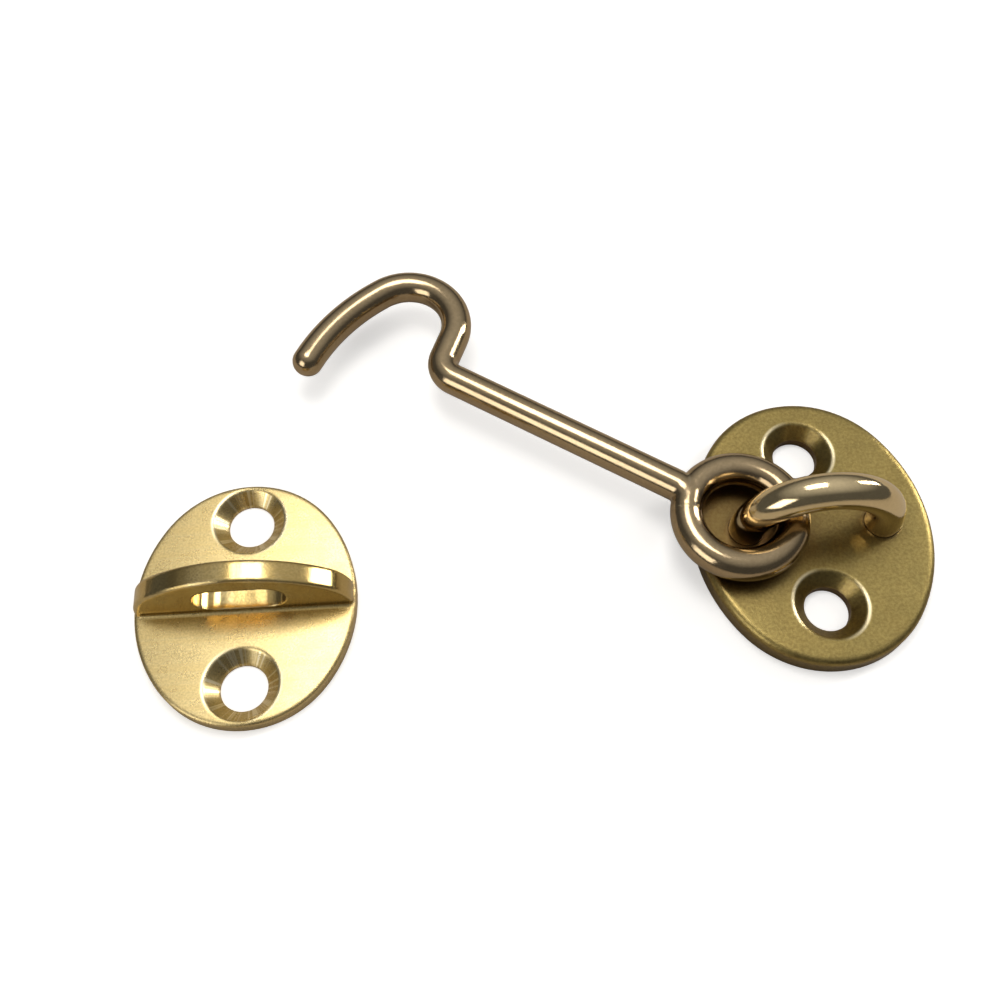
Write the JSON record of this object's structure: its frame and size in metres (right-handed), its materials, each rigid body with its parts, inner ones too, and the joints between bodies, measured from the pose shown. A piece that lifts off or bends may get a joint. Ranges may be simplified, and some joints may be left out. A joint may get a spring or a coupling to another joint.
{
  "type": "hook and eye latch",
  "caption": "Brass cabin hook: a bent-wire hook hung by its ring on a riveted staple over an oval plate, with a matching oval plate whose standing lug has an elongated eye.",
  "frame": {"origin": "centre of the hook plate's back face, the face that lies on the door", "axes": "+X along the staple, away from the eye plate, which is the part's longest extent; +Y along the line of the screw holes; +Z out of the door, from the plates' backs towards the hook"},
  "size_m": [0.0783, 0.0485, 0.0114],
  "materials": {
    "satin_brass": "satin, finely brushed",
    "polished_brass": "polished"
  },
  "bodies": {
    "plates": {"hook_plate": "satin_brass", "staple": "polished_brass", "eye_plate": "satin_brass"},
    "hook": {"hook": "polished_brass"}
  },
  "joints": [
    {"name": "swing", "type": "hinge", "parent": "plates", "child": "hook", "pos_m": [-0.0068, 0, 0], "axis": [0, 0, 1], "range_deg": [-127, 40]}
  ]
}
